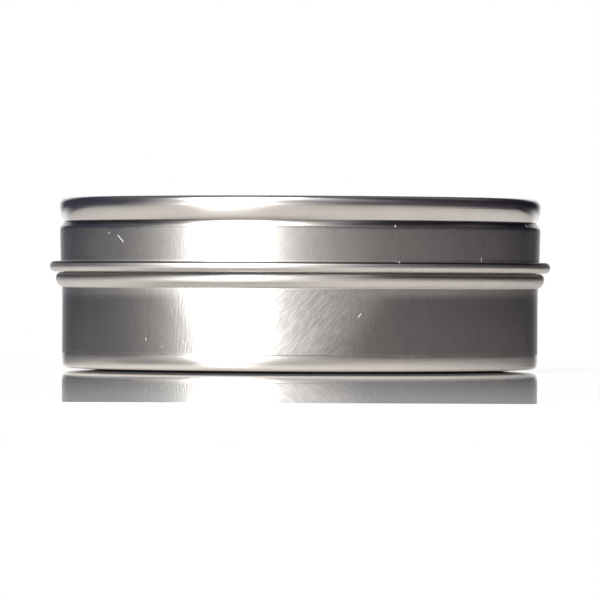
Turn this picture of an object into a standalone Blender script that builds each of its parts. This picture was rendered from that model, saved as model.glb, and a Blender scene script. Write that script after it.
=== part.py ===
"""Round slip-lid tin: a drawn base cup and a lift-off lid that holds a clear window.

Lengths are in metres and angles in degrees. The origin is the centre of the tin on the table, and +Z is up.
Each piece is a profile turned about Z, then thickened. A profile is a list of (radius, height) points along
the middle of its sheet.
"""

import math

import bpy
from mathutils import Vector

# How finely the round shapes are cut
SEGMENTS = 48                    # steps of a full turn about Z
BEND_STEP = 30.0                 # largest turn of a bend or a bead between two points
ROLL_STEP = 36.0                 # the same for the rolled edges
SHARP_ANGLE = 50.0               # edges that fold more than this are shaded sharp
MERGE_DISTANCE = 1e-7            # welds the points that lie on the axis

# Gaps between pieces
TOUCH_GAP = 0.0003               # left between surfaces that rest on each other
NECK_PLAY = 0.00025              # between the lid's skirt and the neck of the cup

# Base cup
SHEET = 0.00028                  # thickness of the tinned steel
BODY_RADIUS = 0.0350             # outside of the wall
PANEL_RISE = 0.0006              # underside of the floor above the table
FOOT_INSET = 0.0060              # from the wall in to the flat ring that the tin stands on
FOOT_WIDTH = 0.0020              # width of that ring
FOOT_SLOPE = 0.0010              # width of the slope from the foot up to the floor
HEEL_RISE = 0.00035              # underside of the bottom corner above the table
LEAN_HEIGHT = 0.0025             # the wall leans in from this height down
LEAN = 0.00018                   # how far it leans in down to the bottom corner
CORNER_RADIUS = 0.0007           # outside of the bottom corner
BEAD_HEIGHT = 0.01358            # widest part of the stop bead above the table
BEAD_REACH = 0.00092             # the bead stands out of the wall by this
BEAD_TOP_RADIUS = 0.00075        # upper part of the bead, which the lid's hem sits on
BEAD_UNDER_RADIUS = 0.00155      # lower part of the bead
NECK_INSET = 0.00028             # the neck is this much smaller than the wall
RIM_RADIUS = 0.0006              # outside of the roll at the rim
RIM_HEADROOM = 0.00115           # from the top of the rim up to the middle of the lid's groove
RIM_TURN = 250.0                 # how far the rim is rolled

# Lid shell, with heights above the underside of its hem
LID_HEIGHT = 0.01087
HEM_RADIUS = 0.00078             # outside of the rolled hem
HEM_FLARE = 0.0003               # the skirt opens by this much into the hem
HEM_TURN = 305.0                 # how far the hem is rolled
SKIRT_TAPER = 0.0001             # the skirt is wider by this at its top
CROWN_REACH = 0.00015            # the top bead stands out of the skirt's lower end by this
CROWN_RADIUS = 0.00108           # upper half of the top bead
CROWN_INNER_TURN = 30.0          # how far the top bead turns down towards the ring inside it
UNDER_RADIUS = 0.0047            # lower half of the top bead
UNDER_TURN = 30.0                # how far the lower half turns in towards the groove
GROOVE_DEPTH = 0.00065           # from the skirt's lower end to the bottom of the groove
GROOVE_DROP = 0.00347            # middle of the groove below the lid's top
RIDGE_REACH = 0.00008            # the ridge under the groove stands out by this
RIDGE_DROP = 0.00435             # middle of the ridge below the lid's top
SKIRT_DROP = 0.00475             # top of the plain skirt below the lid's top
RING_DROP = 0.0005               # flat ring inside the top bead below the lid's top
CROWN_WIDTH = 0.0022             # from the outside of the top bead in to the flat ring
RING_WIDTH = 0.0037              # width of the flat ring, from the top bead to the opening for the window
LIP_BEND = 0.0005                # outside of the bend at the aperture

# Window
WINDOW_SHEET = 0.00045           # thickness of the clear plastic
WINDOW_DROP = 0.0003             # top of the window below the lid's top
WINDOW_EDGE_GAP = 0.00012        # between the flange's edge and the inside of the top bead
WINDOW_BEND = 0.0006             # outside of the bends of the window

HALF_SHEET = SHEET / 2
HALF_WINDOW = WINDOW_SHEET / 2


def arc(centre, radius, start, turn, step=BEND_STEP):
    """Points along an arc, from the angle start through turn. Both ends are kept."""
    steps = max(1, math.ceil(abs(turn) / step))
    points = []
    for index in range(steps + 1):
        angle = math.radians(start + turn * index / steps)
        points.append(Vector((centre.x + radius * math.cos(angle), centre.y + radius * math.sin(angle))))
    return points


def bend(before, corner, after, radius):
    """Points of the arc of that radius that rounds the corner between two straight stretches."""
    to_before = (before - corner).normalized()
    to_after = (after - corner).normalized()
    half_angle = to_before.angle(to_after) / 2
    centre = corner + (to_before + to_after).normalized() * (radius / math.sin(half_angle))
    first = corner + to_before * (radius / math.tan(half_angle)) - centre
    last = corner + to_after * (radius / math.tan(half_angle)) - centre
    start = math.degrees(math.atan2(first.y, first.x))
    end = math.degrees(math.atan2(last.y, last.x))
    turn = (end - start + 180.0) % 360.0 - 180.0
    return arc(centre, radius, start, turn)


def neck_radius():
    """Outside of the cup's neck."""
    return BODY_RADIUS - NECK_INSET


def skirt_middle():
    """Middle of the sheet at the lower end of the lid's skirt."""
    return neck_radius() + NECK_PLAY + HALF_SHEET


def hem_centre_radius():
    """Radius at which the middle of the rolled hem runs."""
    return skirt_middle() + HEM_FLARE + HEM_RADIUS - HALF_SHEET


def lid_rest_height():
    """Height of the hem's underside when the hem sits on the stop bead."""
    between_centres = HEM_RADIUS + BEAD_TOP_RADIUS + TOUCH_GAP
    sideways = hem_centre_radius() - (BODY_RADIUS + BEAD_REACH - BEAD_TOP_RADIUS)
    return BEAD_HEIGHT + math.sqrt(between_centres ** 2 - sideways ** 2) - HEM_RADIUS


def base_profile():
    """Middle of the cup's sheet, from the centre of the floor to the cut edge in the rim."""
    floor = PANEL_RISE + HALF_SHEET
    wall = BODY_RADIUS - HALF_SHEET
    neck = neck_radius() - HALF_SHEET
    foot_outer = BODY_RADIUS - FOOT_INSET
    foot_inner = foot_outer - FOOT_WIDTH
    bead_outside = wall + BEAD_REACH
    bead_top = BEAD_TOP_RADIUS - HALF_SHEET
    bead_under = BEAD_UNDER_RADIUS - HALF_SHEET
    bead_turn = math.degrees(math.acos((bead_under - BEAD_REACH) / bead_under))
    rim_middle = RIM_RADIUS - HALF_SHEET
    rim_height = lid_rest_height() + LID_HEIGHT - GROOVE_DROP - RIM_HEADROOM - RIM_RADIUS

    lean_start = Vector((wall, LEAN_HEIGHT))
    heel = Vector((wall - LEAN, HEEL_RISE + HALF_SHEET))
    foot_edge = Vector((foot_outer, HALF_SHEET))
    under_arc = arc(Vector((bead_outside - bead_under, BEAD_HEIGHT)), bead_under, -bead_turn, bead_turn)
    points = [
        Vector((0.0, floor)),
        Vector((foot_inner - FOOT_SLOPE, floor)),
        Vector((foot_inner, HALF_SHEET)),
        foot_edge,
    ]
    points += bend(foot_edge, heel, lean_start, CORNER_RADIUS - HALF_SHEET)
    points.append(lean_start)
    points += under_arc
    points += arc(Vector((bead_outside - bead_top, BEAD_HEIGHT)), bead_top, 0.0, 90.0)[1:]
    points.append(Vector((neck, BEAD_HEIGHT + bead_top)))
    points += arc(Vector((neck - rim_middle, rim_height)), rim_middle, 0.0, RIM_TURN, ROLL_STEP)
    return points


def crown_outside():
    """Outside of the top bead."""
    return skirt_middle() + HALF_SHEET + CROWN_REACH


def aperture_radius():
    """Radius of the lid's opening for the window."""
    return crown_outside() - CROWN_WIDTH - RING_WIDTH


def crown():
    """The top bead's upper and lower halves, from the ring inside it to the ledge above the groove."""
    outside = crown_outside()
    height = LID_HEIGHT - CROWN_RADIUS
    centre = Vector((outside - CROWN_RADIUS, height))
    under_centre = Vector((outside - UNDER_RADIUS, height))
    points = arc(centre, CROWN_RADIUS - HALF_SHEET, 90.0 + CROWN_INNER_TURN, -90.0 - CROWN_INNER_TURN)
    points += arc(under_centre, UNDER_RADIUS - HALF_SHEET, 0.0, -UNDER_TURN)[1:]
    return points


def flange_height():
    """Underside of the window's flange above the hem, where it rests on the ledge above the groove."""
    return crown()[-1].y + TOUCH_GAP


def lid_profile():
    """Middle of the lid's sheet, from the cut edge of the aperture to the cut edge in the hem."""
    skirt = skirt_middle()
    lip = aperture_radius() + HALF_SHEET
    ring = LID_HEIGHT - RING_DROP - HALF_SHEET
    hem_middle = HEM_RADIUS - HALF_SHEET

    lip_end = Vector((lip, flange_height() + WINDOW_SHEET + TOUCH_GAP))
    ring_edge = Vector((crown_outside() - CROWN_WIDTH, ring))
    points = [lip_end]
    points += bend(lip_end, Vector((lip, ring)), ring_edge, LIP_BEND - HALF_SHEET)
    points.append(ring_edge)
    points += crown()
    points += [
        Vector((skirt - GROOVE_DEPTH, LID_HEIGHT - GROOVE_DROP)),
        Vector((skirt + RIDGE_REACH, LID_HEIGHT - RIDGE_DROP)),
        Vector((skirt + SKIRT_TAPER, LID_HEIGHT - SKIRT_DROP)),
        Vector((skirt, HEM_RADIUS * 2)),
    ]
    points += arc(Vector((hem_centre_radius(), HEM_RADIUS)), hem_middle, 180.0, HEM_TURN, ROLL_STEP)
    return points


def window_profile():
    """Middle of the window's plastic, from its centre to the edge of its flange."""
    top = LID_HEIGHT - WINDOW_DROP - HALF_WINDOW
    flange = flange_height() + HALF_WINDOW
    side = aperture_radius() - TOUCH_GAP - HALF_WINDOW
    edge = crown()[-1].x - HALF_SHEET - WINDOW_EDGE_GAP

    centre = Vector((0.0, top))
    shoulder = Vector((side, top))
    root = Vector((side, flange))
    flange_edge = Vector((edge, flange))
    points = [centre]
    points += bend(centre, shoulder, root, WINDOW_BEND - HALF_WINDOW)
    points += bend(shoulder, root, flange_edge, WINDOW_BEND - HALF_WINDOW)
    points.append(flange_edge)
    return points


def tinplate(name):
    """Bright tinned steel."""
    material = bpy.data.materials.new(name)
    material.use_nodes = True
    shader = material.node_tree.nodes["Principled BSDF"]
    shader.inputs["Base Color"].default_value = (0.66, 0.65, 0.63, 1.0)
    shader.inputs["Metallic"].default_value = 1.0
    shader.inputs["Roughness"].default_value = 0.2
    return material


def clear_plastic(name):
    """Clear moulded plastic."""
    material = bpy.data.materials.new(name)
    material.use_nodes = True
    shader = material.node_tree.nodes["Principled BSDF"]
    shader.inputs["Base Color"].default_value = (0.93, 0.96, 0.97, 1.0)
    shader.inputs["Metallic"].default_value = 0.0
    shader.inputs["Roughness"].default_value = 0.05
    shader.inputs["Transmission Weight"].default_value = 1.0
    shader.inputs["Alpha"].default_value = 0.35
    return material


def turned_sheet(name, profile, thickness, material):
    """Turns a profile about Z and thickens it to both sides."""
    mesh = bpy.data.meshes.new(name)
    corners = [(point.x, 0.0, point.y) for point in profile]
    links = [(index, index + 1) for index in range(len(profile) - 1)]
    mesh.from_pydata(corners, links, [])
    piece = bpy.data.objects.new(name, mesh)
    bpy.context.scene.collection.objects.link(piece)

    turn = piece.modifiers.new("turn", "SCREW")
    turn.angle = math.radians(360.0)
    turn.steps = SEGMENTS
    turn.render_steps = SEGMENTS
    turn.use_merge_vertices = True
    turn.merge_threshold = MERGE_DISTANCE

    thicken = piece.modifiers.new("thicken", "SOLIDIFY")
    thicken.thickness = thickness
    thicken.offset = 0.0
    thicken.use_even_offset = True

    bpy.context.view_layer.objects.active = piece
    bpy.ops.object.select_all(action="DESELECT")
    piece.select_set(True)
    bpy.ops.object.convert(target="MESH")
    piece.data.shade_smooth()
    piece.data.set_sharp_from_angle(angle=math.radians(SHARP_ANGLE))
    piece.data.materials.append(material)
    return piece


def build_base():
    """The cup stands on the table by itself."""
    return turned_sheet("base_cup", base_profile(), SHEET, tinplate("base_tinplate"))


def build_lid():
    """The shell and the window lift off together along an empty on the tin's axis."""
    lift = bpy.data.objects.new("lid_lift", None)
    lift.location.z = lid_rest_height()
    bpy.context.scene.collection.objects.link(lift)

    shell = turned_sheet("lid_shell", lid_profile(), SHEET, tinplate("lid_tinplate"))
    window = turned_sheet("lid_window", window_profile(), WINDOW_SHEET, clear_plastic("window_plastic"))
    for piece in (shell, window):
        piece.parent = lift


def main():
    for old in list(bpy.data.objects):
        bpy.data.objects.remove(old, do_unlink=True)
    build_base()
    build_lid()


main()
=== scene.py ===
"""Looks for a round slip-lid tin: bright turned tinplate, a clear window and a plain light studio.

Lengths are in metres and angles in degrees. Heights are above the board that the tin stands on. Every piece is
a section turned about the tin's axis. A section is a list of (radius, height) points.
"""

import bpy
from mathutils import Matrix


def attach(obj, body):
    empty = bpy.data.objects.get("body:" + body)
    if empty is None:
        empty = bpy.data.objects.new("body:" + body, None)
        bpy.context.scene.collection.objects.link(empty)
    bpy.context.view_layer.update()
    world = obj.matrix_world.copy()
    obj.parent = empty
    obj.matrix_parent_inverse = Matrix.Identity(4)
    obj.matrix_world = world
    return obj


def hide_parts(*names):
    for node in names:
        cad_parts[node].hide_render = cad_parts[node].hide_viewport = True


bl_info = {
    "name": "Round slip-lid tin",
    "version": (1, 0, 0),
    "blender": (4, 5, 0),
    "location": "3D View > Sidebar > Tin",
    "description": "Builds the smooth sheet metal, the window and the studio round the tin's frame",
    "category": "Object",
}

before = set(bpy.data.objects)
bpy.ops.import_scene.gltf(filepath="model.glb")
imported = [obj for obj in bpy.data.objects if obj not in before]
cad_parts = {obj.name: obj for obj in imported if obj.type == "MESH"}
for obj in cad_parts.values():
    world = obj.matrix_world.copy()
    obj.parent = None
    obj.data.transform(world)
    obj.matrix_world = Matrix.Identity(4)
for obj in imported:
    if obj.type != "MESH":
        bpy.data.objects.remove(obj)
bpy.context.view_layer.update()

import math
from functools import partial, reduce

import bpy
from bpy.props import FloatProperty, FloatVectorProperty, PointerProperty
from bpy.types import NodeSocket, Operator, Panel, PropertyGroup, Scene
from mathutils import Vector

BLACK = (0.0, 0.0, 0.0)
WHITE = (1.0, 1.0, 1.0)

# Single light marks seen on the tin: azimuth from the front and lean from upright in degrees, height and length
LID_MARKS = (
    (-46.8, 51.0, 0.01913, 0.0015),
    (-51.1, 0.0, 0.01994, 0.0003),
    (22.5, 0.0, 0.02102, 0.0003),
    (22.7, 0.0, 0.01591, 0.0003),
    (47.5, -6.0, 0.01630, 0.0006),
    (69.6, 30.0, 0.02125, 0.0005),
)
CUP_MARKS = (
    (-38.9, 10.0, 0.00477, 0.0004),
    (-28.2, 20.0, 0.00441, 0.0004),
    (14.0, -35.0, 0.00830, 0.0007),
)

# How finely the round shapes are cut
TURN_STEPS = 240  # steps of a full turn about the axis
FINE_STEP = 9.0  # largest turn between two points of a small bend
SMOOTH_STEP = 4.0  # the same for the broad bead at the top
GUARD = 0.00004  # a point this far from each bend keeps the straight stretches flat
WELD = 0.000001  # points closer than this are one


def length(name, description, default):
    """A size that the user can change, in metres."""
    return FloatProperty(name=name, description=description, default=default, min=0.0, precision=5, unit="LENGTH")


def angle(name, description, default):
    """An angle that the user can change, in degrees."""
    return FloatProperty(name=name, description=description, default=default, precision=2)


def share(name, description, default):
    """A value from 0 to 1 that the user can change."""
    return FloatProperty(name=name, description=description, default=default, min=0.0, max=1.0, subtype="FACTOR")


def colour(name, description, default):
    """A colour that the user can change."""
    return FloatVectorProperty(
        name=name, description=description, default=default, size=3, min=0.0, max=1.0, subtype="COLOR"
    )


class TinCupSizes(PropertyGroup):
    """Sizes of the base cup."""

    sheet: length("Sheet", "Thickness of the tinned steel", 0.00028)
    body_radius: length("Body radius", "Outside of the wall", 0.0350)
    panel_rise: length("Panel rise", "Underside of the floor above the board", 0.0006)
    foot_inset: length("Foot inset", "From the wall in to the flat ring that the tin stands on", 0.0060)
    foot_width: length("Foot width", "Width of that ring", 0.0020)
    foot_slope: length("Foot slope", "Width of the slope from the foot up to the floor", 0.0010)
    foot_bend: length("Foot bend", "Radius of the bends at the foot", 0.0006)
    heel_rise: length("Heel rise", "Underside of the bottom corner above the board", 0.00035)
    lean: length("Lean", "How far the wall leans in from the crease down to the bottom corner", 0.00018)
    corner_radius: length("Corner radius", "Outside of the bottom corner", 0.0007)
    crease_height: length("Crease height", "Crease where the wall meets the bottom corner", 0.00235)
    crease_width: length("Crease width", "Height of the crease", 0.00025)
    crease_reach: length("Crease reach", "How far the crease stands out", 0.000012)
    bead_height: length("Bead height", "Widest part of the stop bead above the board", 0.01358)
    bead_reach: length("Bead reach", "The bead stands out of the wall by this", 0.00092)
    bead_top_radius: length("Bead top radius", "Upper part of the bead", 0.00075)
    bead_under_radius: length("Bead under radius", "Lower part of the bead", 0.00155)
    cove_drop: length("Cove drop", "The wall starts to lean out to the bead this far below it", 0.0018)
    cove_reach: length("Cove reach", "How far the wall leans out there", 0.00004)
    bead_root: length("Bead root", "Radius of the hollow where the bead leaves the wall", 0.0002)
    neck_inset: length("Neck inset", "The neck is this much smaller than the wall", 0.00028)
    rim_radius: length("Rim radius", "Outside of the roll at the rim", 0.0006)
    rim_headroom: length("Rim headroom", "From the rim up to the middle of the lid's groove", 0.00115)
    rim_turn: angle("Rim turn", "How far the rim is rolled", 250.0)


class TinLidSizes(PropertyGroup):
    """Sizes of the lid shell."""

    height: length("Lid height", "From the underside of the hem to the top", 0.01087)
    neck_play: length("Neck play", "Between the skirt and the neck of the cup", 0.00025)
    touch_gap: length("Touch gap", "Left between pieces that rest on each other", 0.0003)
    hem_radius: length("Hem radius", "Outside of the rolled hem", 0.00078)
    hem_flare: length("Hem flare", "How far the skirt opens into the hem", 0.0003)
    hem_turn: angle("Hem turn", "How far the hem is rolled", 305.0)
    skirt_taper: length("Skirt taper", "How much wider the skirt is at its top", 0.0001)
    crown_reach: length("Crown reach", "The top bead stands out of the skirt's lower end by this", 0.00015)
    crown_radius: length("Crown radius", "Upper half of the top bead", 0.00108)
    crown_inner_turn: angle("Crown inner turn", "How far the top bead turns down inside", 30.0)
    under_radius: length("Under radius", "Lower half of the top bead", 0.0047)
    under_turn: angle("Under turn", "How far the lower half turns in towards the groove", 30.0)
    groove_depth: length("Groove depth", "From the skirt's lower end to the bottom of the groove", 0.00065)
    groove_drop: length("Groove drop", "Middle of the groove below the top", 0.00347)
    groove_bend: length("Groove bend", "Radius of the bends at the groove and the ridge", 0.00018)
    ridge_reach: length("Ridge reach", "The ridge under the groove stands out by this", 0.00008)
    ridge_drop: length("Ridge drop", "Middle of the ridge below the top", 0.00435)
    skirt_drop: length("Skirt drop", "Top of the plain skirt below the top", 0.00475)
    ring_drop: length("Ring drop", "Flat ring inside the top bead below the top", 0.0005)
    crown_width: length("Crown width", "From the outside of the top bead in to the flat ring", 0.0022)
    ring_width: length("Ring width", "Width of the flat ring", 0.0037)
    lip_bend: length("Lip bend", "Outside of the bend at the window's opening", 0.0005)


class TinWindowSizes(PropertyGroup):
    """Sizes of the clear window."""

    sheet: length("Sheet", "Thickness of the clear plastic", 0.00045)
    drop: length("Drop", "Top of the window below the lid's top", 0.0003)
    edge_gap: length("Edge gap", "Between the flange and the inside of the top bead", 0.00012)
    bend: length("Bend", "Outside of the window's bends", 0.0006)


class TinFinish(PropertyGroup):
    """Colours and surface of the metal and the plastic."""

    tin_colour: colour("Tin", "Colour of the bright tin coating", (0.80, 0.785, 0.765))
    worn_colour: colour("Worn tin", "Colour of the dull patches and marks", (0.62, 0.60, 0.60))
    dust_colour: colour("Dust", "Colour of the dust specks", (0.80, 0.79, 0.80))
    roughness: share("Roughness", "Roughness of the clean metal", 0.17)
    grain_spacing: length("Grain spacing", "Distance between the rolling lines", 0.00028)
    grain_depth: length("Grain depth", "Height of the rolling lines on the lid's skirt", 0.000012)
    cup_grain_depth: length("Cup grain depth", "Height of the rolling lines on the cup's wall", 0.000020)
    streaks: share("Streaks", "How much light the metal loses between the rolling lines", 0.09)
    streaks_leaning: share("Leaning streaks", "The same where the lines lean on the cup", 0.26)
    mark_width: length("Mark width", "Width of a single light mark", 0.00012)
    haze: share("Haze", "Added roughness on the bead and the hem", 0.12)
    worn_rough: share("Worn rough", "Added roughness of the plain walls", 0.11)
    rubbed: share("Rubbed", "Added roughness at the front of the cup's wall", 0.05)
    # Painted shade: these shares darken the base colour where shade and dark reflections fall, in the crease, on the
    # seam on top of the hem, in the groove, on the stop bead's top and on the plain walls, skirt and hem away from
    # the front
    painted_shade: share("Soiled", "How much light the soiled hollows lose", 0.50)
    seam_shade: share("Soiled seam", "How much light the seam on top of the hem loses", 0.93)
    groove_and_bead_shade: share("Soiled groove", "The same for groove and stop bead, away from the front", 0.72)
    wall_shade: share("Worn wall", "How much light the cup's wall loses away from the front", 0.42)
    skirt_shade: share("Worn skirt", "The same for the lid's skirt and hem", 0.25)
    wave_size: length("Wave size", "Size of the slow waves in the sheet", 0.009)
    wave_depth: length("Wave depth", "Height of the slow waves", 0.000004)
    plastic_colour: colour("Plastic", "Colour of the clear window", (0.96, 0.98, 0.985))


class TinStudio(PropertyGroup):
    """The board, the light and the camera."""

    board_front: length("Board front", "From the tin's axis to the board's front edge", 0.236)
    board_rear: length("Board rear", "From the tin's axis to the board's rear edge", 0.115)
    board_left: length("Board left", "From the tin's axis to the board's left edge", 0.300)
    board_right: length("Board right", "From the tin's axis to the board's right edge", 0.200)
    board_thickness: length("Board thickness", "Thickness of the white gloss board", 0.004)
    board_fall: FloatProperty(name="Board fall", description="Slope of the board before the tin", default=0.008)
    board_side_colour: colour("Board side", "Board as the metal sees it beside the tin", (0.45, 0.425, 0.40))
    # Painted shade: the board as the metal sees it is darker before the tin
    board_front_shaded_colour: colour("Board front", "Board as the metal sees it before the tin", (0.41, 0.38, 0.345))
    board_shade: share("Board shade", "How much darker the board is in the shade before the tin, left", 0.60)
    camera_distance: length("Camera distance", "From the tin's axis to the camera", 0.8842)
    camera_height: length("Camera height", "Height of the camera above the board", 0.0133)
    camera_lens: FloatProperty(name="Lens", description="Focal length in millimetres", default=360.0)
    camera_dip: angle("Camera dip", "How far the camera looks down", 0.191)
    camera_roll: angle("Camera roll", "How far the camera is turned about its view", -0.256)
    light_strength: FloatProperty(name="Softbox strength", description="Brightness of the softbox", default=7.0)


# Points of a section

def arc(centre, radius, start, turn, step=FINE_STEP):
    """Points along an arc, from the angle start through turn. Both ends are kept."""
    steps = max(1, math.ceil(abs(turn) / step))
    points = []
    for index in range(steps + 1):
        at = math.radians(start + turn * index / steps)
        points.append(Vector((centre.x + radius * math.cos(at), centre.y + radius * math.sin(at))))
    return points


def via(x, y, radius=0.0):
    """A corner of a path, and the radius that rounds it."""
    return Vector((x, y)), radius


def rounded(corners):
    """A path through corners, each a point and the radius that rounds it. A radius of 0 keeps the corner."""
    points = [corners[0][0]]
    for index in range(1, len(corners) - 1):
        corner, radius = corners[index]
        if not radius:
            points.append(corner)
            continue
        to_before = (corners[index - 1][0] - corner).normalized()
        to_after = (corners[index + 1][0] - corner).normalized()
        half_angle = to_before.angle(to_after) / 2
        reach = radius / math.tan(half_angle)
        centre = corner + (to_before + to_after).normalized() * (radius / math.sin(half_angle))
        first = corner + to_before * reach - centre
        last = corner + to_after * reach - centre
        start = math.degrees(math.atan2(first.y, first.x))
        turn = (math.degrees(math.atan2(last.y, last.x)) - start + 180.0) % 360.0 - 180.0
        points += arc(centre, radius, start, turn)
    points.append(corners[-1][0])
    return points


def guarded(path):
    """The path with an extra point near both ends of each long straight stretch."""
    points = [path[0]]
    for start, end in zip(path, path[1:]):
        stretch = end - start
        if stretch.length > GUARD * 4:
            points.append(start + stretch.normalized() * GUARD)
            points.append(end - stretch.normalized() * GUARD)
        points.append(end)
    return points


def without_repeats(path):
    """The path without points that fall on the one before."""
    points = [path[0]]
    for point in path[1:]:
        if (point - points[-1]).length > WELD * 3:
            points.append(point)
    return points


def sheet_section(path, thickness):
    """Outline of a sheet of that thickness along a path, closed, or open where the path starts on the axis."""
    path = guarded(without_repeats(path))
    half = thickness / 2
    sides = []
    for index, point in enumerate(path):
        before = path[max(index - 1, 0)]
        after = path[min(index + 1, len(path) - 1)]
        along_in = (point - before).normalized() if index else (after - point).normalized()
        along_out = (after - point).normalized() if index < len(path) - 1 else along_in
        out_in = Vector((-along_in.y, along_in.x))
        out_out = Vector((-along_out.y, along_out.x))
        out = (out_in + out_out).normalized()
        sides.append((point, out * (half / max(out.dot(out_in), 0.5))))
    near = [point + out for point, out in sides]
    far = [point - out for point, out in reversed(sides)]
    outline = near + edge_round(sides[-1], half) + far
    if path[0].x > 0.0:
        outline += edge_round((sides[0][0], -sides[0][1]), half) + [near[0]]
    else:
        outline[0].x = 0.0
        outline[-1].x = 0.0
    return outline


def edge_round(side, half):
    """Points that round a cut edge of the sheet, from its near side to its far side."""
    point, out = side
    start = math.degrees(math.atan2(out.y, out.x))
    points = arc(point, half, start, -180.0, 45.0)
    return points[1:-1]


# Sizes that follow from the user's sizes

def neck_radius(cup):
    """Outside of the cup's neck."""
    return cup.body_radius - cup.neck_inset


def skirt_middle(cup, lid):
    """Middle of the sheet at the lower end of the lid's skirt."""
    return neck_radius(cup) + lid.neck_play + cup.sheet / 2


def hem_centre_radius(cup, lid):
    """Radius at which the middle of the rolled hem runs."""
    return skirt_middle(cup, lid) + lid.hem_flare + lid.hem_radius - cup.sheet / 2


def lid_rest_height(cup, lid):
    """Height of the hem's underside when the hem sits on the stop bead."""
    between_centres = lid.hem_radius + cup.bead_top_radius + lid.touch_gap
    sideways = hem_centre_radius(cup, lid) - (cup.body_radius + cup.bead_reach - cup.bead_top_radius)
    return cup.bead_height + math.sqrt(between_centres ** 2 - sideways ** 2) - lid.hem_radius


def crown_outside(cup, lid):
    """Outside of the top bead."""
    return skirt_middle(cup, lid) + cup.sheet / 2 + lid.crown_reach


def crown(cup, lid):
    """The top bead's upper and lower halves, from the ring inside it to the ledge above the groove."""
    half = cup.sheet / 2
    outside = crown_outside(cup, lid)
    height = lid_rest_height(cup, lid) + lid.height - lid.crown_radius
    centre = Vector((outside - lid.crown_radius, height))
    under_centre = Vector((outside - lid.under_radius, height))
    inner = lid.crown_inner_turn
    points = arc(centre, lid.crown_radius - half, 90.0 + inner, -90.0 - inner, SMOOTH_STEP)
    points += arc(under_centre, lid.under_radius - half, 0.0, -lid.under_turn, SMOOTH_STEP)[1:]
    return points


def flange_height(cup, lid):
    """Underside of the window's flange, where it rests on the ledge above the groove."""
    return crown(cup, lid)[-1].y + lid.touch_gap


def cup_path(cup, lid):
    """Middle of the cup's sheet, from the centre of the floor to the cut edge in the rim."""
    half = cup.sheet / 2
    floor = cup.panel_rise + half
    wall = cup.body_radius - half
    neck = neck_radius(cup) - half
    foot_outer = cup.body_radius - cup.foot_inset
    foot_inner = foot_outer - cup.foot_width
    bead_outside = wall + cup.bead_reach
    bead_top = cup.bead_top_radius - half
    bead_under = cup.bead_under_radius - half
    bead_turn = math.acos((bead_under - cup.bead_reach) / bead_under)
    root = Vector((wall + cup.cove_reach, cup.bead_height - bead_under * math.sin(bead_turn)))
    cove = [
        Vector((wall + cup.cove_reach * part ** 2, root.y - cup.cove_drop * (1.0 - part)))
        for part in (0.0, 0.2, 0.4, 0.6, 0.8)
    ]
    heel = cup.heel_rise + half
    foot_wall = wall + cup.crease_reach
    lean = [
        Vector((foot_wall - cup.lean * part ** 2, cup.crease_height - (cup.crease_height - heel) * part))
        for part in (0.6, 0.45, 0.3, 0.15, 0.0)
    ]
    belly = Vector((bead_outside, cup.bead_height - bead_under * math.tan(bead_turn / 2)))
    rim = cup.rim_radius - half
    lid_top = lid_rest_height(cup, lid) + lid.height
    rim_height = lid_top - lid.groove_drop - cup.rim_headroom - cup.rim_radius
    corners = [
        via(0.0, floor),
        via(foot_inner - cup.foot_slope, floor, cup.foot_bend),
        via(foot_inner, half, cup.foot_bend),
        via(foot_outer, half, cup.foot_bend),
        via(foot_wall - cup.lean, heel, cup.corner_radius - half),
        *((point, 0.0) for point in lean),
        via(wall, cup.crease_height + cup.crease_width),
        *((point, 0.0) for point in cove),
        (root, cup.bead_root),
        (belly, bead_under - cup.bead_root),
        via(bead_outside, cup.bead_height + bead_top, bead_top),
        via(neck, cup.bead_height + bead_top, cup.bead_root),
        via(neck, rim_height),
    ]
    return rounded(corners) + arc(Vector((neck - rim, rim_height)), rim, 0.0, cup.rim_turn)[1:]


def lid_path(cup, lid, window):
    """Middle of the lid's sheet, from the cut edge of the window's opening to the cut edge in the hem."""
    half = cup.sheet / 2
    skirt = skirt_middle(cup, lid)
    base = lid_rest_height(cup, lid)
    top = base + lid.height
    outside = crown_outside(cup, lid)
    lip = outside - lid.crown_width - lid.ring_width + half
    ring = top - lid.ring_drop - half
    bend = lid.groove_bend
    corners = [
        via(lip, flange_height(cup, lid) + window.sheet + lid.touch_gap),
        via(lip, ring, lid.lip_bend - half),
        via(outside - lid.crown_width, ring, lid.lip_bend),
    ]
    corners += [(point, 0.0) for point in crown(cup, lid)]
    corners[-1] = (corners[-1][0], bend)
    corners += [
        via(skirt - lid.groove_depth, top - lid.groove_drop, bend),
        via(skirt + lid.ridge_reach, top - lid.ridge_drop, bend),
        via(skirt + lid.skirt_taper, top - lid.skirt_drop, bend),
        via(skirt, base + lid.hem_radius * 2, bend),
        via(skirt + lid.hem_flare, base + lid.hem_radius),
    ]
    hem = Vector((hem_centre_radius(cup, lid), base + lid.hem_radius))
    return rounded(corners) + arc(hem, lid.hem_radius - half, 180.0, lid.hem_turn)[1:]


def window_path(cup, lid, window):
    """Middle of the window's plastic, from its centre to the edge of its flange."""
    half = window.sheet / 2
    top = lid_rest_height(cup, lid) + lid.height - window.drop - half
    flange = flange_height(cup, lid) + half
    aperture = crown_outside(cup, lid) - lid.crown_width - lid.ring_width
    side = aperture - lid.touch_gap - half
    edge = crown(cup, lid)[-1].x - cup.sheet / 2 - window.edge_gap
    bend = window.bend - half
    return rounded([
        via(0.0, top),
        via(side, top, bend),
        via(side, flange, bend),
        via(edge - half, flange),
    ])


# Nodes of any tree

def new_group(name, kind, inputs, outputs):
    """A node group with named inputs and outputs, listed by kind, and the sockets at its two ends."""
    tree = bpy.data.node_groups.new(name, kind)
    for listed, in_out in ((inputs, "INPUT"), (outputs, "OUTPUT")):
        for socket_kind, titles in listed.items():
            for title in titles:
                tree.interface.new_socket(name=title, in_out=in_out, socket_type="NodeSocket" + socket_kind)
    return tree, tree.nodes.new("NodeGroupInput").outputs, tree.nodes.new("NodeGroupOutput").inputs


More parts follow.
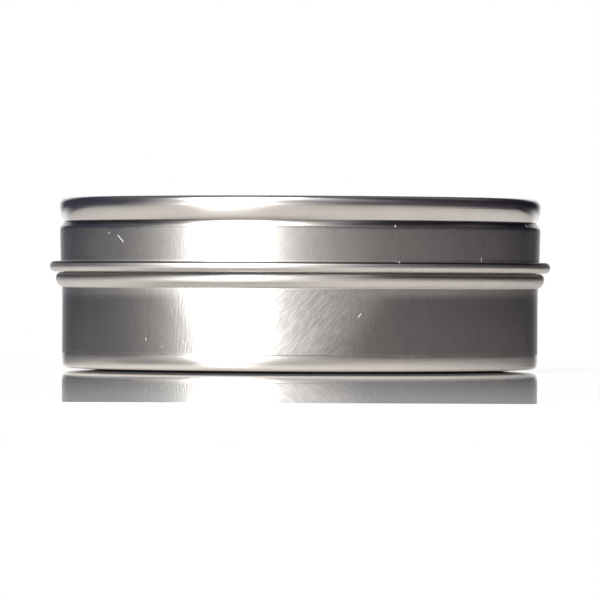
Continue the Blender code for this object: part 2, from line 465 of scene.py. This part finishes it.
def add_node(kind, inputs, **settings):
    """Adds a node with its settings. Its inputs, by name or number, are values and at least one socket."""
    tree = next(given.id_data for given in inputs.values() if isinstance(given, NodeSocket))
    node = tree.nodes.new(kind)
    for name, setting in settings.items():
        setattr(node, name, setting)
    for key, given in inputs.items():
        if isinstance(given, NodeSocket):
            tree.links.new(given, node.inputs[key])
        else:
            node.inputs[key].default_value = given
    return node


def value(operation, *terms, kind="ShaderNodeMath"):
    """A sum of sockets and numbers, or of what another kind of node takes."""
    return add_node(kind, dict(enumerate(terms)), operation=operation).outputs[0]


whole_number = partial(value, kind="FunctionNodeIntegerMath")  # for Geometry Nodes
vector_sum = partial(value, kind="ShaderNodeVectorMath")
minus = partial(value, "SUBTRACT")


def times(*terms):
    """The product of sockets and numbers."""
    return reduce(lambda first, second: value("MULTIPLY", first, second), terms)


def plus(*terms):
    """The total of sockets and numbers."""
    return reduce(lambda first, second: value("ADD", first, second), terms)


def turned(vector, turn, axis="Z_AXIS"):
    """The vector turned about an axis by radians."""
    inputs = {"Vector": vector, "Angle": turn}
    return add_node("ShaderNodeVectorRotate", inputs, rotation_type=axis).outputs["Vector"]


def parts(vector):
    """The X, Y and Z of a vector."""
    return tuple(add_node("ShaderNodeSeparateXYZ", {"Vector": vector}).outputs)


def azimuth_of(x, y):
    """Angle in radians from the front, which is -Y, and positive to the right."""
    return value("ARCTAN2", x, times(y, -1.0))


def in_degrees(radians):
    """The same angle in degrees."""
    return times(radians, math.degrees(1.0))


# Geometry Nodes

def turning_tree():
    """Turns the points of a section about Z, closes the seam and the poles, and gives it a material."""
    tree, given, found = new_group(
        "Turn a section", "GeometryNodeTree",
        {"Geometry": ("Section",), "Int": ("Steps",), "Float": ("Weld Distance",), "Material": ("Material",)},
        {"Geometry": ("Piece",)},
    )

    rows = add_node("GeometryNodeAttributeDomainSize", {"Geometry": given["Section"]}).outputs["Point Count"]
    columns = whole_number("ADD", given["Steps"], 1)
    grid = add_node("GeometryNodeMeshGrid", {"Vertices X": rows, "Vertices Y": columns})
    index = tree.nodes.new("GeometryNodeInputIndex").outputs["Index"]
    row = whole_number("DIVIDE_FLOOR", index, columns)
    step = whole_number("MODULO", index, columns)

    position = tree.nodes.new("GeometryNodeInputPosition").outputs["Position"]
    sample = {"Geometry": given["Section"], "Value": position, "Index": row}
    at = add_node("GeometryNodeSampleIndex", sample, data_type="FLOAT_VECTOR").outputs["Value"]
    at = turned(at, times(value("DIVIDE", step, given["Steps"]), math.tau))
    piece = add_node("GeometryNodeSetPosition", {"Geometry": grid.outputs["Mesh"], "Position": at}).outputs[0]
    for kind, inputs in (
        ("GeometryNodeMergeByDistance", {"Distance": given["Weld Distance"]}),
        ("GeometryNodeSetShadeSmooth", {}),
        ("GeometryNodeRealizeInstances", {}),
        ("GeometryNodeSetMaterial", {"Material": given["Material"]}),
    ):
        piece = add_node(kind, {"Geometry": piece, **inputs}).outputs[0]
    tree.links.new(piece, found["Piece"])
    return tree


def in_scene(name, data):
    """Makes an object of its mesh or camera data and puts it in the scene."""
    made = bpy.data.objects.new(name, data)
    bpy.context.scene.collection.objects.link(made)
    return made


def turned_piece(name, outline, material):
    """Makes a piece by turning an outline about the tin's axis."""
    tree = bpy.data.node_groups.get("Turn a section") or turning_tree()
    mesh = bpy.data.meshes.new(name + "_section")
    corners = [(point.x, 0.0, point.y) for point in outline]
    links = [(index, index + 1) for index in range(len(corners) - 1)]
    mesh.from_pydata(corners, links, [])
    section = in_scene(name + "_section", mesh)

    turning = section.modifiers.new("Turn", "NODES")
    turning.node_group = tree
    values = {"Steps": TURN_STEPS, "Weld Distance": WELD, "Material": material}
    for item in tree.interface.items_tree:
        if item.item_type == "SOCKET" and item.in_out == "INPUT" and item.name in values:
            turning[item.identifier] = values[item.name]

    graph = bpy.context.evaluated_depsgraph_get()
    made = bpy.data.meshes.new_from_object(section.evaluated_get(graph), depsgraph=graph)
    made.name = name
    bpy.data.objects.remove(section, do_unlink=True)
    bpy.data.meshes.remove(mesh)
    if not made.polygons:
        raise RuntimeError(name + " came out empty")
    return in_scene(name, made)


# Shader helpers

def ramp(source, low, high, to_low=0.0, to_high=1.0, smooth=True):
    """Maps a value from low..high to to_low..to_high and stops at both ends."""
    inputs = {"Value": source, "From Min": low, "From Max": high, "To Min": to_low, "To Max": to_high}
    kind = "SMOOTHSTEP" if smooth else "LINEAR"
    return add_node("ShaderNodeMapRange", inputs, interpolation_type=kind).outputs["Result"]


def bounded(source, rise, fall):
    """A mask that rises over one pair of values and falls again over the other."""
    return times(ramp(source, *rise), ramp(source, *fall))


def blend(factor, first, second):
    """Mixes two colours. Each is a socket or a tuple of 3 numbers."""
    node = add_node("ShaderNodeMix", {"Factor": factor}, data_type="RGBA")
    targets = [item for item in node.inputs if item.type == "RGBA"]
    for target, given in zip(targets, (first, second)):
        if isinstance(given, NodeSocket):
            node.id_data.links.new(given, target)
        else:
            target.default_value = (*given, 1.0)
    return [item for item in node.outputs if item.type == "RGBA"][0]


def noise(vector, scale, detail=2.0, rough=0.5):
    """A noise value. Scale is a socket or a number, per metre."""
    inputs = {"Vector": vector, "Scale": scale, "Detail": detail, "Roughness": rough}
    return add_node("ShaderNodeTexNoise", inputs).outputs["Fac"]


def bump(height, distance, **under):
    """A bump of that height in metres, laid over another Normal."""
    inputs = {"Height": height, "Distance": distance, "Strength": 1.0, **under}
    return add_node("ShaderNodeBump", inputs).outputs["Normal"]


def new_material(name):
    """A material with a Principled BSDF, and its node tree and shader."""
    material = bpy.data.materials.new(name)
    material.use_nodes = True
    return material, material.node_tree, material.node_tree.nodes["Principled BSDF"]


def object_place(tree):
    """Place on the piece, in metres."""
    return tree.nodes.new("ShaderNodeTexCoord").outputs["Object"]


def use_group(name, builder, **values):
    """Places a shader group, built once, gives it its values and returns its outputs."""
    inputs = {key.replace("_", " "): given for key, given in values.items()}
    group = bpy.data.node_groups.get(name) or builder()
    return add_node("ShaderNodeGroup", inputs, node_tree=group).outputs


# Surface effects that the pieces share. Counts are per metre. Each pair is where an edge starts and is full

FADE = 0.0003  # height over which one finish fades into the next
SEAM = 0.00045  # height of the painted shade in the crevice on top of the hem, with its fades
FRONT_LEFT = (-0.42, -0.16)  # azimuths in radians of the front, where the rolling lines lean
FRONT_RIGHT = (0.40, 0.16)
LINE_TWIST = -24.0  # radians per metre of height by which those lines turn
LINE_STRETCH = (1.0, 1.0, 0.20)  # draws the lines out along Z
BETWEEN_LINES = (0.62, 0.38)  # grain that counts as the gap between two lines
CUP_HEAD = 0.0133  # height below which the sheet is the cup's wall
PATCH_HEIGHT = 0.0075  # height at which the patch on the cup with less painted shade is as wide as the front
PATCH_WIDENING = (30.0, 24.0)  # radians per metre of height by which its two sides move out
PATCH_MOVE = (0.14, 0.03)  # radians by which they are moved to the left
DULL_PATCHES = 320.0
DULLED = (0.35, 0.75)  # noise at which a dull patch sets in
DULL_COLOUR = 0.25  # share of the worn colour in it
DULL_ROUGH = 0.04  # roughness that it adds
METAL_SPECKS = 160.0  # cells, each with room for a dust speck
PLASTIC_SPECKS = 120.0
SPECK_EDGE = (0.012, 0.022)  # in cells
BARE_CELLS = 0.8  # share of cells with no speck
DUST_ROUGH = 0.5  # roughness that dust adds
DUST_COVER = 0.25  # share of the metal hidden in the dusty bands
SCRATCH_THREADS = 420.0
SCRATCH_PATCHES = 260.0
SCRATCH_STRETCH = (1.0, 1.0, 0.18)
SCRATCH_EDGE = (0.001, 0.004)  # half a scratch's width, as a step of the noise
SCRATCHED = (0.77, 0.80)  # noise at which a scratched patch sets in
SCRATCH_ROUGH = 0.25  # roughness that a scratch adds
MARK_SIDES = (0.6, 0.3)  # edges of a single mark, as shares of its width and its length
MARK_ENDS = (0.6, 0.4)
PLASTIC_IOR = 1.49
PLASTIC_ROUGH = 0.02
PLASTIC_CLOUDS = 140.0
CLOUD_TINT = (0.3, 0.7)  # noise at which a cloud's tint and its haze set in
CLOUD_HAZE = (0.45, 0.75)
CLOUDED = 0.97  # brightness of a cloud
HAZED = 0.04  # roughness that it adds
PLASTIC_SWELLS = 60.0
SWELL_DEPTH = 0.00002
GROOVE_FRONT_SHADE = 0.3  # share of painted shade on the lid's groove at the front
SKIRT_FRONT_SHADE = 0.1  # the same for the skirt


def rolled_grain_group():
    """Fine rolling lines that lean at the front, slow waves and dull patches, as values from 0 to 1.

    Leaning is 1 where the lines lean, and Front where the walls get less painted shade.
    """
    tree, given, found = new_group(
        "Rolled sheet", "ShaderNodeTree",
        {"Vector": ("Place", "Shifted"), "Float": ("Lines Per Metre", "Waves Per Metre")},
        {"Float": ("Grain", "Leaning", "Front", "Waves", "Dullness")},
    )
    link = tree.links.new
    x, y, z = parts(given["Place"])
    azimuth = azimuth_of(x, y)
    leaning = bounded(azimuth, FRONT_LEFT, FRONT_RIGHT)
    link(leaning, found["Leaning"])

    on_cup = value("LESS_THAN", z, CUP_HEAD)
    rise = times(minus(z, PATCH_HEIGHT), on_cup)
    wider_left, wider_right = (times(rise, widening) for widening in PATCH_WIDENING)
    moved_left, moved_right = (times(on_cup, move) for move in PATCH_MOVE)
    left = plus(azimuth, plus(wider_left, moved_left))
    right = minus(azimuth, minus(wider_right, moved_right))
    link(times(ramp(left, *FRONT_LEFT), ramp(right, *FRONT_RIGHT)), found["Front"])

    twist = times(z, times(leaning, LINE_TWIST))
    lines = vector_sum("MULTIPLY", turned(given["Place"], twist), LINE_STRETCH)
    link(noise(lines, given["Lines Per Metre"], 2.0, 0.6), found["Grain"])
    link(noise(given["Shifted"], given["Waves Per Metre"]), found["Waves"])
    link(noise(given["Shifted"], DULL_PATCHES, 4.0, 0.65), found["Dullness"])
    return tree


def marks_group():
    """Sparse dust specks and short fine scratches, as masks from 0 to 1."""
    tree, given, found = new_group(
        "Handling marks", "ShaderNodeTree",
        {"Vector": ("Place",), "Float": ("Specks Per Metre",)}, {"Float": ("Specks", "Scratches")},
    )
    cells = add_node("ShaderNodeTexVoronoi", {"Vector": given["Place"], "Scale": given["Specks Per Metre"]})
    near = ramp(cells.outputs["Distance"], *SPECK_EDGE, 1.0, 0.0)
    chance = add_node("ShaderNodeSeparateColor", {"Color": cells.outputs["Color"]}).outputs["Red"]
    some = value("GREATER_THAN", chance, BARE_CELLS)
    tree.links.new(times(near, some), found["Specks"])

    thread = noise(vector_sum("MULTIPLY", given["Place"], SCRATCH_STRETCH), SCRATCH_THREADS, 1.0)
    line = ramp(value("ABSOLUTE", minus(thread, 0.5)), *SCRATCH_EDGE, 1.0, 0.0)
    there = ramp(noise(given["Place"], SCRATCH_PATCHES, 0.0), *SCRATCHED)
    tree.links.new(times(line, there), found["Scratches"])
    return tree


def single_mark_group():
    """One short light mark at a place on the wall, as a mask from 0 to 1. Angles are in radians."""
    tree, given, found = new_group(
        "Single mark", "ShaderNodeTree",
        {"Vector": ("Place",), "Float": ("Azimuth", "Lean", "Height", "Length", "Width")}, {"Float": ("Mark",)},
    )
    drop = add_node("ShaderNodeCombineXYZ", {"Z": given["Height"]}).outputs["Vector"]
    lowered = vector_sum("SUBTRACT", given["Place"], drop)
    faced = turned(lowered, times(given["Azimuth"], -1.0))
    x, y, z = parts(turned(faced, given["Lean"], "Y_AXIS"))
    aside = value("DIVIDE", value("ABSOLUTE", x), given["Width"])
    along = value("DIVIDE", value("ABSOLUTE", z), given["Length"])
    mark = times(ramp(aside, *MARK_SIDES, smooth=False), ramp(along, *MARK_ENDS, smooth=False))
    tree.links.new(times(mark, value("LESS_THAN", y, 0.0)), found["Mark"])
    return tree


def single_marks(place, marks, width):
    """All the single marks together, as a mask."""
    masks = [
        use_group(
            "Single mark", single_mark_group, Place=place, Azimuth=math.radians(azimuth),
            Lean=math.radians(lean), Height=height, Length=reach, Width=width,
        )["Mark"]
        for azimuth, lean, height, reach in marks
    ]
    return reduce(lambda first, second: value("MAXIMUM", first, second), masks)


def tinplate(name, finish, shift, grain_depth, streaks, rubbed, plain, painted_shade, dusty, walls, hazy, single):
    """Bright tinned steel with rolling lines, slow waves, painted shade, haze, dust, scratches and single marks.

    shift sets a piece's waves and marks apart from another's. The rolling lines are on the plain walls only. Where
    they lean, the metal between them loses the share streaks of the light, and the wall is rougher by rubbed. plain,
    dusty and each entry of the painted shade list are bands of height, as a rise and a fall. Each painted shade band
    darkens the base colour by a share, and by another share at the front. The roughness grows from the first height
    in walls to the second, and again over the heights in hazy.
    """
    material, tree, shader = new_material(name)
    link = tree.links.new
    here = object_place(tree)
    place = vector_sum("ADD", here, shift)
    height = parts(here)[2]
    sheet = use_group(
        "Rolled sheet", rolled_grain_group, Place=here, Shifted=place,
        Lines_Per_Metre=1.0 / finish.grain_spacing, Waves_Per_Metre=1.0 / finish.wave_size,
    )
    marks = use_group("Handling marks", marks_group, Place=place, Specks_Per_Metre=METAL_SPECKS)

    dull = ramp(sheet["Dullness"], *DULLED)
    metal = blend(times(dull, DULL_COLOUR), finish.tin_colour, finish.worn_colour)
    marked = blend(marks["Scratches"], metal, finish.worn_colour)
    on_plain = bounded(height, *plain)
    leaning = times(sheet["Leaning"], on_plain)
    depth = ramp(leaning, 0.0, 1.0, finish.streaks, streaks, smooth=False)
    between = times(depth, on_plain, ramp(sheet["Grain"], *BETWEEN_LINES))
    marked = blend(between, marked, BLACK)
    # Painted shade: each band darkens the base colour towards black
    for rise, fall, lost, lost_front in painted_shade:
        share_lost = ramp(sheet["Front"], 0.0, 1.0, lost, lost_front, smooth=False)
        marked = blend(times(bounded(height, rise, fall), share_lost), marked, BLACK)
    light = value("MAXIMUM", marks["Specks"], single_marks(here, single, finish.mark_width))
    link(blend(light, marked, finish.dust_colour), shader.inputs["Base Color"])

    rough = finish.roughness
    for mask, added in (
        (dull, DULL_ROUGH), (ramp(height, *walls), finish.worn_rough), (ramp(height, *hazy), finish.haze),
        (leaning, rubbed), (marks["Scratches"], SCRATCH_ROUGH), (light, DUST_ROUGH),
    ):
        rough = plus(rough, times(mask, added))
    link(rough, shader.inputs["Roughness"])
    dust = times(bounded(height, *dusty), DUST_COVER)
    link(minus(1.0, value("MAXIMUM", light, dust)), shader.inputs["Metallic"])

    waves = bump(sheet["Waves"], finish.wave_depth)
    link(bump(times(sheet["Grain"], on_plain), grain_depth, Normal=waves), shader.inputs["Normal"])
    return material


def clear_plastic(name, finish):
    """Clear moulded plastic with a slight swell and faint rubbed haze."""
    material, tree, shader = new_material(name)
    link = tree.links.new
    place = object_place(tree)
    marks = use_group("Handling marks", marks_group, Place=place, Specks_Per_Metre=PLASTIC_SPECKS)
    shader.inputs["IOR"].default_value = PLASTIC_IOR
    shader.inputs["Transmission Weight"].default_value = 1.0
    shader.inputs["Metallic"].default_value = 0.0
    cloud = noise(place, PLASTIC_CLOUDS, 3.0)
    clouded = tuple(part * CLOUDED for part in finish.plastic_colour)
    link(blend(ramp(cloud, *CLOUD_TINT), finish.plastic_colour, clouded), shader.inputs["Base Color"])
    haze = times(ramp(cloud, *CLOUD_HAZE), HAZED)
    marked = times(marks["Scratches"], SCRATCH_ROUGH)
    link(plus(PLASTIC_ROUGH, plus(haze, marked)), shader.inputs["Roughness"])
    link(bump(noise(place, PLASTIC_SWELLS, 1.0), SWELL_DEPTH), shader.inputs["Normal"])
    return material


# Studio. Each pair is where an edge starts and is full

# The board, in metres from the tin's axis and degrees from the front
BOARD_GREYS = (0.03, -0.14)  # along Y, from beside the tin to before it; the board is painted darker before the tin as shade
BOARD_TO_CAMERA = (0.56, 0.56, 0.56)
SHADE_SIDES = ((-70.0, -44.0), (20.0, -16.0))
SHADE_RING = ((0.0375, 0.0405), (0.060, 0.047))
BOUNCE_RING = ((0.0328, 0.0338), (0.046, 0.038))
BOUNCE = 0.45  # light that the metal sees come back from the board close to the tin
GLOSS_ROUGH = 0.02
GLOSS_IOR = 1.5
FALL_EDGE = (-0.045, -0.080)  # along Y, where the slope before the tin sets in
MIRROR_FULL = -0.08  # along Y, where the gloss mirrors in full
MIRROR_FRONT = 0.84  # share of that at the board's front edge
LESS_MIRROR = 0.035  # the metal sees it mirror this much less

# The room that polished metal mirrors, in degrees: azimuths from the front and elevations above level
LEFT_TO_RIGHT = (-60.0, 60.0)
REAR_TO_FRONT = (150.0, 30.0)
LEFT_ROOM = ((0.038, 0.039, 0.062), (0.098, 0.098, 0.115))  # at the rear and at the front
RIGHT_ROOM = ((0.011, 0.009, 0.016), (0.082, 0.068, 0.086))
CEILING = (0.15, 0.15, 0.16)
CEILING_SIDES = (100.0, 140.0)
CEILING_RISE = (28.0, 50.0)
OFF_LEVEL = (0.0, 8.0)
NARROWER = (7.0, 8.0)  # the lit part's left and right side move in by this off level
STEEP = 60.0  # elevation at which they have moved out again by WIDER
STEEPEST = 68.0  # they move no further from here on
WIDER = (45.0, 20.0)
WIDER_BOX = 12.0  # the same for the softbox's right side
GLOW = (0.95, 0.93, 0.90)  # round the softbox
GLOW_LEFT = (-103.0, -57.0)
GLOW_RIGHT = (46.0, -8.0)
TAIL_SIDES = ((2.0, 18.0), (70.0, 28.0))  # faint light high up at the right
TAIL_RISE = (12.0, 30.0, 0.0, 0.18)
BOX_LEFT = (-61.0, -44.0)
BOX_RIGHT = (-4.0, -30.0)
BACKDROP_SIDES = (156.0, 172.0)
BACKDROP_TOP = (22.0, 14.0)
BELOW_SIDES = (140.0, 166.0)  # the backdrop below level
BELOW_TOP = (-0.8, -4.5)

# The camera
SENSOR_WIDTH = 36.0  # in millimetres
CLIP = (0.01, 10.0)


def gloss_board_material(studio):
    """White gloss board: a matt white under a clear gloss that mirrors more the flatter it is seen.

    The exposure burns the bare board out to white for the camera. The metal sees a light grey with painted shade,
    darker before the tin and darker still in the shade by the tin, and the light that the tin itself throws on the
    board close to it.
    """
    material, tree, shader = new_material("gloss_board")
    x, y, _ = parts(object_place(tree))
    path = tree.nodes.new("ShaderNodeLightPath").outputs
    # Painted shade: the grey darkens from beside the tin to before it
    grey = blend(ramp(y, *BOARD_GREYS), studio.board_side_colour, studio.board_front_shaded_colour)
    across = value("SQRT", plus(value("POWER", x, 2.0), value("POWER", y, 2.0)))
    azimuth = in_degrees(azimuth_of(x, y))
    shade = times(bounded(azimuth, *SHADE_SIDES), bounded(across, *SHADE_RING), studio.board_shade)
    grey = blend(shade, grey, BLACK)
    seen = blend(path["Is Camera Ray"], grey, BOARD_TO_CAMERA)
    matt = add_node("ShaderNodeBsdfDiffuse", {"Color": seen})

    near = times(bounded(across, *BOUNCE_RING), minus(1.0, shade))
    bounced = add_node("ShaderNodeEmission", {
        "Color": (*studio.board_side_colour, 1.0),
        "Strength": times(near, path["Is Glossy Ray"], BOUNCE),
    })
    bright = add_node("ShaderNodeAddShader", {0: matt.outputs[0], 1: bounced.outputs[0]})
    slope = ramp(y, *FALL_EDGE, 0.0, -studio.board_fall)
    normal = add_node("ShaderNodeCombineXYZ", {"Y": slope, "Z": 1.0}).outputs["Vector"]
    gloss = add_node("ShaderNodeBsdfGlossy", {"Color": (*WHITE, 1.0), "Roughness": GLOSS_ROUGH, "Normal": normal})
    fresnel = tree.nodes.new("ShaderNodeFresnel")
    fresnel.inputs["IOR"].default_value = GLOSS_IOR
    fade = ramp(y, -studio.board_front, MIRROR_FULL, MIRROR_FRONT, 1.0, smooth=False)
    less = times(path["Is Glossy Ray"], LESS_MIRROR)
    share_mirrored = value("MAXIMUM", minus(times(fresnel.outputs[0], fade), less), 0.0)
    mix = add_node("ShaderNodeMixShader", {0: share_mirrored, 1: bright.outputs[0], 2: gloss.outputs[0]})
    tree.links.new(mix.outputs[0], tree.nodes["Material Output"].inputs["Surface"])
    tree.nodes.remove(shader)
    return material


def build_board(studio):
    """The board that the tin stands on, with its top at height 0."""
    left, right = -studio.board_left, studio.board_right
    front, rear = -studio.board_front, studio.board_rear
    outline = ((left, front), (right, front), (right, rear), (left, rear))
    corners = [(x, y, z) for z in (-studio.board_thickness, 0.0) for x, y in outline]
    faces = [(3, 2, 1, 0), (4, 5, 6, 7), (0, 1, 5, 4), (1, 2, 6, 5), (2, 3, 7, 6), (3, 0, 4, 7)]
    mesh = bpy.data.meshes.new("gloss_board")
    mesh.from_pydata(corners, [], faces)
    mesh.materials.append(gloss_board_material(studio))
    board = in_scene("gloss_board", mesh)


def build_light(studio):
    """A white surround to the camera, and to polished metal a dim room with a softbox and a white backdrop."""
    world = bpy.data.worlds.new("studio")
    bpy.context.scene.world = world
    world.use_nodes = True
    tree = world.node_tree
    x, y, z = parts(tree.nodes.new("ShaderNodeTexCoord").outputs["Generated"])
    azimuth = in_degrees(azimuth_of(x, y))
    elevation = in_degrees(value("ARCSINE", z))
    around = value("ABSOLUTE", azimuth)

    to_front = ramp(around, *REAR_TO_FRONT)
    left_room, right_room = (blend(to_front, *colours) for colours in (LEFT_ROOM, RIGHT_ROOM))
    room = blend(ramp(azimuth, *LEFT_TO_RIGHT), left_room, right_room)
    ceiling = times(ramp(around, *CEILING_SIDES), ramp(elevation, *CEILING_RISE))
    room = blend(ceiling, room, CEILING)

    off_level = ramp(value("ABSOLUTE", elevation), *OFF_LEVEL)
    above = value("MINIMUM", value("MAXIMUM", elevation, 0.0), STEEPEST)
    steep = value("POWER", times(above, 1.0 / STEEP), 3.0)
    from_left = minus(azimuth, times(off_level, NARROWER[0]))
    from_left = plus(from_left, times(steep, WIDER[0]))
    from_right = plus(azimuth, times(off_level, NARROWER[1]))
    box_right = minus(from_right, times(steep, WIDER_BOX))
    from_right = minus(from_right, times(steep, WIDER[1]))
    dawn = value("POWER", ramp(from_left, *GLOW_LEFT, smooth=False), 2.0)
    dusk = value("POWER", ramp(from_right, *GLOW_RIGHT, smooth=False), 2.5)
    tail = times(bounded(azimuth, *TAIL_SIDES), ramp(elevation, *TAIL_RISE))
    glow = plus(times(dawn, dusk), tail)
    room = blend(glow, room, GLOW)

    box = times(ramp(from_left, *BOX_LEFT), ramp(box_right, *BOX_RIGHT))
    behind = times(ramp(around, *BACKDROP_SIDES), ramp(elevation, *BACKDROP_TOP))
    below = times(ramp(around, *BELOW_SIDES), ramp(elevation, *BELOW_TOP))
    lit = blend(value("MAXIMUM", behind, below), room, WHITE)
    strength = plus(1.0, times(box, studio.light_strength - 1.0))
    lit = blend(box, lit, WHITE)

    path = tree.nodes.new("ShaderNodeLightPath").outputs
    plain = value("MAXIMUM", path["Is Camera Ray"], path["Is Diffuse Ray"])
    plain = value("MAXIMUM", plain, path["Is Transmission Ray"])
    background = tree.nodes["Background"]
    tree.links.new(blend(plain, lit, WHITE), background.inputs["Color"])
    power = plus(plain, times(strength, minus(1.0, plain)))
    tree.links.new(power, background.inputs["Strength"])


def build_camera(studio):
    """The camera, almost level with the middle of the tin."""
    data = bpy.data.cameras.new("camera")
    data.lens, data.sensor_width = studio.camera_lens, SENSOR_WIDTH
    data.clip_start, data.clip_end = CLIP
    camera = in_scene("camera", data)
    camera.location = (0.0, -studio.camera_distance, studio.camera_height)
    camera.rotation_euler = (math.radians(90.0 - studio.camera_dip), math.radians(studio.camera_roll), 0.0)
    bpy.context.scene.camera = camera


# Operators

class TIN_OT_build_cup(Operator):
    """Builds the drawn base cup"""

    bl_idname = "tin.build_cup"
    bl_label = "Base cup"

    def execute(self, context):
        cup, lid, finish = context.scene.tin_cup, context.scene.tin_lid, context.scene.tin_finish
        outline = sheet_section(cup_path(cup, lid), cup.sheet)
        foot, head = cup.crease_height, cup.bead_height - cup.bead_under_radius
        crease = foot + cup.crease_width
        bead, bead_head = cup.bead_height, cup.bead_height + cup.bead_top_radius
        metal = tinplate(
            "cup_tinplate", finish, shift=(0.2, 0.1, 0.0), grain_depth=finish.cup_grain_depth,
            streaks=finish.streaks_leaning, rubbed=finish.rubbed,
            plain=((foot, foot + FADE), (head, head - FADE)),
            painted_shade=(
                # Painted shade: a dark line along the crease
                ((crease - FADE / 2, crease), (crease + FADE / 2, crease), finish.painted_shade, finish.painted_shade),
                # Painted shade: the wall darker away from the front
                ((crease, crease + FADE), (head, head - cup.cove_drop), finish.wall_shade, 0.0),
                # Painted shade: the stop bead's top darker under the hem
                ((bead - FADE, bead + FADE), (bead_head, bead + 1.2 * FADE), finish.groove_and_bead_shade, 0.0),
            ),
            dusty=((bead_head - FADE, bead_head), (bead_head + 2 * FADE, bead_head + FADE)),
            walls=(foot, crease), hazy=(head - FADE, head + FADE), single=CUP_MARKS,
        )
        piece = turned_piece("cup_sheet", outline, metal)
        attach(piece, "base")
        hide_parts("base_cup")
        return {"FINISHED"}


class TIN_OT_build_lid(Operator):
    """Builds the lid's pressed shell"""

    bl_idname = "tin.build_lid"
    bl_label = "Lid shell"

    def execute(self, context):
        scene = context.scene
        cup, lid, finish = scene.tin_cup, scene.tin_lid, scene.tin_finish
        outline = sheet_section(lid_path(cup, lid, scene.tin_window), cup.sheet)
        rest = lid_rest_height(cup, lid)
        hem = rest + lid.hem_radius * 2
        ridge = rest + lid.height - lid.ridge_drop
        ledge = crown(cup, lid)[-1].y
        skirt = ((hem, hem + FADE), (ridge, ridge - FADE))
        seam = ((hem - SEAM, hem - 2 * SEAM / 3), (hem, hem - SEAM / 3))
        metal = tinplate(
            "lid_tinplate", finish, shift=(0.0, 0.3, 0.1), grain_depth=finish.grain_depth,
            streaks=finish.streaks, rubbed=0.0, plain=skirt,
            painted_shade=(
                # Painted shade: the groove darker under the top bead
                ((ridge, ridge + 2 * FADE), (ledge, ledge - cup.sheet / 2), finish.groove_and_bead_shade, GROOVE_FRONT_SHADE),
                # Painted shade: a dark line in the crevice on top of the hem
                (*seam, finish.seam_shade, finish.seam_shade),
                # Painted shade: the skirt and the hem darker away from the front
                (*skirt, finish.skirt_shade, SKIRT_FRONT_SHADE),
                ((rest + 1.5 * FADE, rest + 3 * FADE), (hem - FADE, hem - 2 * FADE), finish.skirt_shade, 0.0),
            ),
            dusty=((rest - FADE, rest), (rest + FADE / 2, rest)),
            walls=(ridge, ridge - FADE), hazy=(hem + FADE, hem - FADE), single=LID_MARKS,
        )
        piece = turned_piece("lid_sheet", outline, metal)
        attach(piece, "lid")
        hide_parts("lid_shell")
        return {"FINISHED"}


class TIN_OT_build_window(Operator):
    """Builds the clear window in the lid"""

    bl_idname = "tin.build_window"
    bl_label = "Window"

    def execute(self, context):
        scene = context.scene
        outline = sheet_section(window_path(scene.tin_cup, scene.tin_lid, scene.tin_window), scene.tin_window.sheet)
        piece = turned_piece("window_pane", outline, clear_plastic("window_plastic", scene.tin_finish))
        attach(piece, "lid")
        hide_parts("lid_window")
        return {"FINISHED"}


class TIN_OT_build_studio(Operator):
    """Builds the board, the light and the camera"""

    bl_idname = "tin.build_studio"
    bl_label = "Studio"

    def execute(self, context):
        context.scene.view_settings.view_transform = "Standard"
        for build in (build_board, build_light, build_camera):
            build(context.scene.tin_studio)
        return {"FINISHED"}


class TIN_PT_tin(Panel):
    """Lists the tin's pieces and sizes in the sidebar"""

    bl_idname = "TIN_PT_tin"
    bl_label = "Round tin"
    bl_space_type = "VIEW_3D"
    bl_region_type = "UI"
    bl_category = "Tin"

    def draw(self, context):
        column = self.layout.column()
        for operator in OPERATORS:
            column.operator(operator.bl_idname)
        for name in SETTINGS:
            group = getattr(context.scene, name)
            box = column.box()
            box.label(text=group.__doc__)
            for item in group.bl_rna.properties:
                if item.identifier not in ("rna_type", "name"):
                    box.prop(group, item.identifier)


OPERATORS = (TIN_OT_build_cup, TIN_OT_build_lid, TIN_OT_build_window, TIN_OT_build_studio)
SETTINGS = {
    "tin_cup": TinCupSizes,
    "tin_lid": TinLidSizes,
    "tin_window": TinWindowSizes,
    "tin_finish": TinFinish,
    "tin_studio": TinStudio,
}


def register():
    for kind in (*SETTINGS.values(), *OPERATORS, TIN_PT_tin):
        bpy.utils.register_class(kind)
    for name, kind in SETTINGS.items():
        setattr(Scene, name, PointerProperty(type=kind))


def unregister():
    for name in SETTINGS:
        delattr(Scene, name)
    for kind in reversed((*SETTINGS.values(), *OPERATORS, TIN_PT_tin)):
        bpy.utils.unregister_class(kind)


def main():
    register()
    bpy.ops.tin.build_cup()
    bpy.ops.tin.build_lid()
    bpy.ops.tin.build_window()
    bpy.ops.tin.build_studio()


if __name__ == "__main__":
    main()
